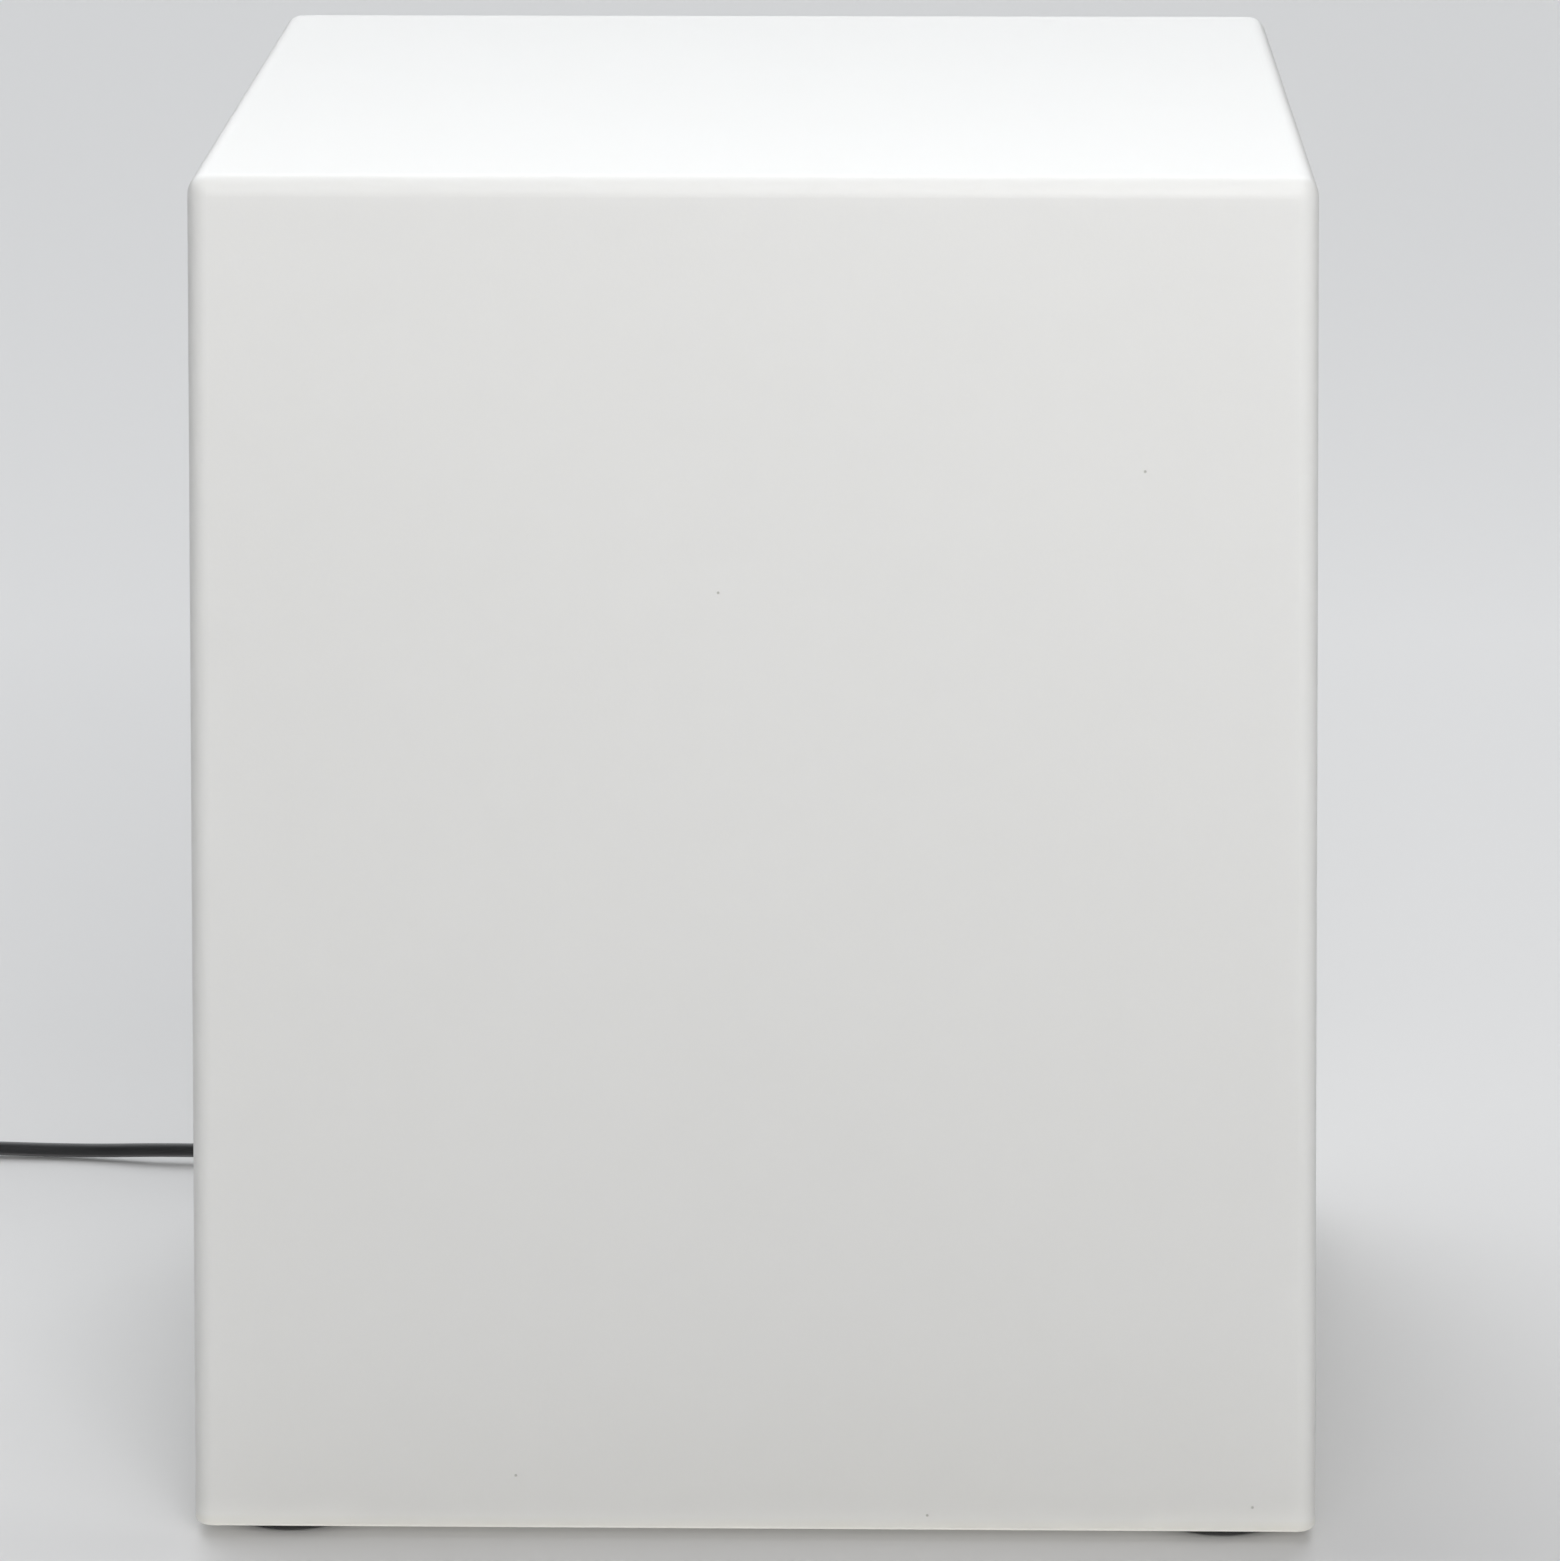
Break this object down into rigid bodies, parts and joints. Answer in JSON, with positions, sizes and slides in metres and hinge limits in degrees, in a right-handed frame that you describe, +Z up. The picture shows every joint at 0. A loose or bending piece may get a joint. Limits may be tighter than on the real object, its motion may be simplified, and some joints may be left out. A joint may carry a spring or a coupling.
{
  "type": "led cube light",
  "caption": "Tall white moulded outdoor light box on rubber feet, lit by a screw-base LED bulb on a unit that twists out below, with a black rubber flex and plug.",
  "frame": {"origin": "on the floor under the middle of the shell", "axes": "+Z up, front towards -Y, cable outlet at the back towards +Y"},
  "size_m": [0.6403, 0.4539, 0.4903],
  "materials": {
    "shell_white": "satin, slightly translucent moulded polyethylene with a fine mould grain",
    "foot_rubber": "matt moulded rubber",
    "zinc_steel": "bright zinc plate",
    "brass_parts": "turned brass",
    "nickel_brass": "nickel plate",
    "collar_plastic": "moulded, fine grain",
    "plate_plastic": "moulded, fine grain",
    "seal_rubber": "smooth soft rubber",
    "gland_plastic": "moulded polyamide",
    "bracket_steel": "bent galvanised sheet",
    "holder_plastic": "moulded, slightly glossy",
    "puck_plastic": "thermoset",
    "flex_rubber": "dull rubber sheath",
    "tie_plastic": "flat strap",
    "plug_rubber": "moulded, matt",
    "core_brown": "smooth insulation",
    "core_blue": "smooth insulation",
    "insulator_black": "glossy",
    "bulb_plastic": "satin",
    "globe_opal": "opal diffuser",
    "board_white": "white solder resist",
    "chip_yellow": "phosphor",
    "driver_board": "green board"
  },
  "bodies": {
    "root": {"shell": "shell_white", "rubber_feet": "foot_rubber", "foot_washers": "zinc_steel", "foot_screws": "zinc_steel", "foot_inserts": "brass_parts", "neck_collar": "collar_plastic", "collar_gasket": "seal_rubber", "collar_screws": "zinc_steel", "cord_lead": "flex_rubber", "cord_coil": "flex_rubber", "cord_tail": "flex_rubber", "coil_ties": "tie_plastic", "plug_boot": "plug_rubber", "plug_body": "plug_rubber", "plug_pins": "nickel_brass"},
    "light_unit": {"base_plate": "plate_plastic", "plate_seal": "seal_rubber", "gland_pad": "seal_rubber", "gland_body": "gland_plastic", "gland_seal": "seal_rubber", "gland_dome_nut": "gland_plastic", "gland_locknut": "gland_plastic", "lamp_bracket": "bracket_steel", "bracket_screws": "zinc_steel", "holder_nipple": "zinc_steel", "nipple_nut": "zinc_steel", "holder_cap": "holder_plastic", "holder_puck": "puck_plastic", "terminals": "brass_parts", "terminal_screws": "zinc_steel", "holder_body": "holder_plastic", "threaded_shell": "nickel_brass", "centre_contact": "brass_parts", "side_contact": "brass_parts", "inner_cord": "flex_rubber", "core_brown": "core_brown", "core_blue": "core_blue"},
    "bulb_travel": {"neck_seal": "seal_rubber"},
    "bulb": {"bulb_contact": "nickel_brass", "bulb_insulator": "insulator_black", "bulb_cap": "nickel_brass", "bulb_housing": "bulb_plastic", "bulb_globe": "globe_opal", "led_board": "board_white", "led_chips": "chip_yellow", "led_driver": "driver_board"}
  },
  "joints": [
    {"name": "twist", "type": "hinge", "parent": "root", "child": "light_unit", "pos_m": [0, 0, 0.06], "axis": [0, 0, -1], "range_deg": [0, 37]},
    {"name": "bulb_rise", "type": "slide", "parent": "light_unit", "child": "bulb_travel", "axis": [0, 0, 1], "range_m": [0, 0.01453]},
    {"name": "bulb_turn", "type": "hinge", "parent": "bulb_travel", "child": "bulb", "pos_m": [0, 0, 0.14], "axis": [0, 0, 1], "range_deg": [0, 1440]}
  ],
  "couplings": [
    {"joint": "bulb_rise", "follows": "bulb_turn", "m_per_rad": 0.00057757}
  ]
}
